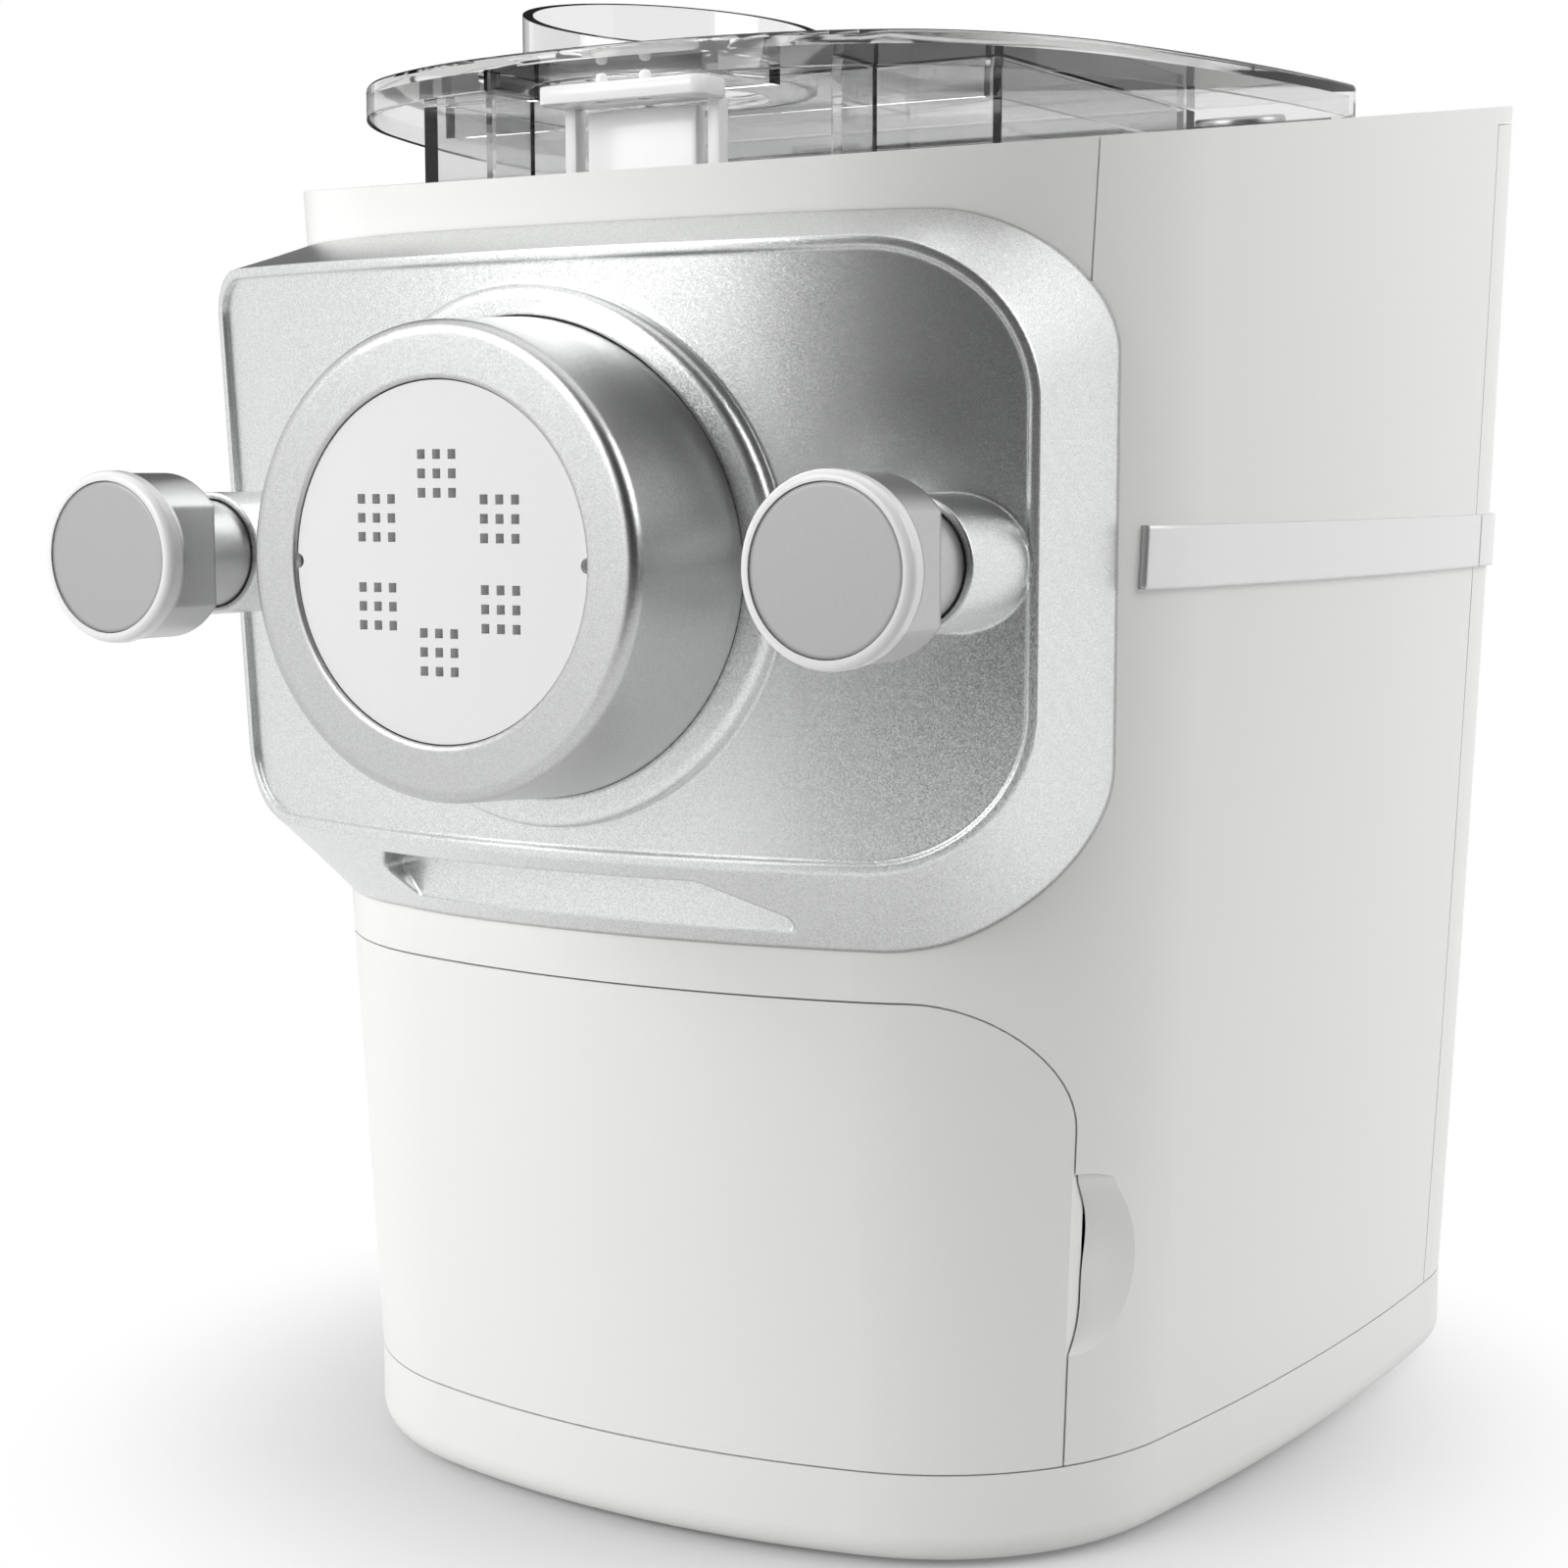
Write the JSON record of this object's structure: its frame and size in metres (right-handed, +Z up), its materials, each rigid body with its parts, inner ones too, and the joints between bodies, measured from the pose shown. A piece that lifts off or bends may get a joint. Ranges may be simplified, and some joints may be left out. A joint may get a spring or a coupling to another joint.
{
  "type": "electric pasta maker",
  "caption": "Electric pasta maker with a tapered white housing, pull-off silver front panel, two screw knobs, shaping disc, clear mixing chamber with lift-off lid, disc drawer and gear drive.",
  "frame": {"origin": "on the table, under the middle of the machine's width and depth (knob faces to rear wall)", "axes": "+X to the right of a user who faces the front, +Y to the back, +Z up; the shaping disc faces -Y"},
  "size_m": [0.2416, 0.3054, 0.3253],
  "materials": {
    "white_body": "satin moulded white",
    "white_gloss": "glossy white",
    "white_disc": "smooth white, food safe",
    "silver_paint": "satin silver paint with a fine metallic grain over plastic",
    "silver_band": "glossy silver trim",
    "knob_silver": "satin silver paint",
    "knob_face": "matt mid grey",
    "clear_plastic": "clear polycarbonate",
    "dough_plastic": "smooth light grey, food safe",
    "grey_rubber": "matt grey",
    "black_plastic": "matt black",
    "panel_black": "glossy dark panel",
    "display_glass": "smoked window",
    "board_green": "lacquered circuit board",
    "frame_plastic": "moulded structural plastic",
    "gear_plastic": "natural acetal",
    "steel": "machined",
    "motor_steel": "zinc plated can",
    "brass": "machined"
  },
  "bodies": {
    "body": {"main_housing": "white_body", "upper_front_cover": "white_body", "rear_cover": "white_body", "base_pan": "white_body", "rubber_feet": "grey_rubber", "left_side_band": "silver_band", "right_side_band": "silver_band", "rear_band": "silver_band", "knob_nuts": "brass", "chassis": "frame_plastic", "gearbox_plate": "steel", "shaft_bearings": "steel", "motor": "motor_steel", "mixing_chamber": "clear_plastic", "shaft_seal": "grey_rubber", "extrusion_tube": "clear_plastic", "tube_seal": "grey_rubber", "lock_frame": "white_gloss", "lock_plate": "white_gloss", "lock_switch": "white_gloss", "top_deck": "white_body", "control_panel": "panel_black", "display": "display_glass", "control_board": "board_green", "rear_screws": "steel", "base_screws": "steel", "mains_inlet": "black_plastic"},
    "lid": {"lid": "clear_plastic"},
    "front_panel": {"front_panel": "silver_paint", "disc_ring": "silver_paint", "shaping_disc": "white_disc"},
    "left_knob": {"left_knob_grip": "knob_silver", "left_knob_rim": "white_gloss", "left_knob_face": "knob_face", "left_knob_screw": "steel"},
    "right_knob": {"right_knob_grip": "knob_silver", "right_knob_rim": "white_gloss", "right_knob_face": "knob_face", "right_knob_screw": "steel"},
    "mixer": {"drive_shaft": "steel", "output_gear": "gear_plastic", "auger": "dough_plastic", "mixing_paddle": "dough_plastic"},
    "layshaft": {"lay_shaft": "steel", "lay_pinion": "steel", "lay_gear": "gear_plastic"},
    "rotor": {"motor_shaft": "steel", "motor_pinion": "brass", "cooling_fan": "black_plastic"},
    "drawer": {"drawer_front": "white_body", "drawer_tray": "white_body", "spare_disc_round": "white_disc", "spare_disc_slot": "white_disc", "spare_disc_sheet": "white_disc"},
    "power_button": {"power_button": "white_gloss"},
    "program_button": {"program_button": "white_gloss"},
    "start_button": {"start_button": "knob_silver"},
    "lock_pins": {"lock_pins": "white_gloss"}
  },
  "joints": [
    {"name": "lid_lift", "type": "slide", "parent": "body", "child": "lid", "axis": [0, 0, 1], "range_m": [0, 0.06]},
    {"name": "panel_pull", "type": "slide", "parent": "body", "child": "front_panel", "axis": [0, -1, 0], "range_m": [0, 0.08]},
    {"name": "left_knob_turn", "type": "hinge", "parent": "front_panel", "child": "left_knob", "pos_m": [-0.0829, 0, 0.204], "axis": [0, 1, 0], "continuous": true},
    {"name": "right_knob_turn", "type": "hinge", "parent": "front_panel", "child": "right_knob", "pos_m": [0.0829, 0, 0.204], "axis": [0, 1, 0], "continuous": true},
    {"name": "mixer_turn", "type": "hinge", "parent": "body", "child": "mixer", "pos_m": [0, 0, 0.204], "axis": [0, 1, 0], "continuous": true},
    {"name": "layshaft_turn", "type": "hinge", "parent": "body", "child": "layshaft", "pos_m": [0.03, 0, 0.15642], "axis": [0, 1, 0], "continuous": true},
    {"name": "rotor_turn", "type": "hinge", "parent": "body", "child": "rotor", "pos_m": [0, 0, 0.11895], "axis": [0, 1, 0], "continuous": true},
    {"name": "drawer_slide", "type": "slide", "parent": "body", "child": "drawer", "axis": [0, -1, 0], "range_m": [0, 0.105]},
    {"name": "power_button_press", "type": "slide", "parent": "body", "child": "power_button", "axis": [0, 0.1289, -0.9917], "range_m": [0, 0.0012], "stiffness_N_per_m": 900},
    {"name": "program_button_press", "type": "slide", "parent": "body", "child": "program_button", "axis": [0, 0.1289, -0.9917], "range_m": [0, 0.0012], "stiffness_N_per_m": 900},
    {"name": "start_button_press", "type": "slide", "parent": "body", "child": "start_button", "axis": [0, 0.1289, -0.9917], "range_m": [0, 0.0012], "stiffness_N_per_m": 1200},
    {"name": "lock_pins_press", "type": "slide", "parent": "body", "child": "lock_pins", "axis": [0, 0, -1], "range_m": [0, 0.0015], "stiffness_N_per_m": 400}
  ],
  "couplings": [
    {"joint": "layshaft_turn", "follows": "mixer_turn", "ratio": -4},
    {"joint": "rotor_turn", "follows": "mixer_turn", "ratio": 12}
  ]
}
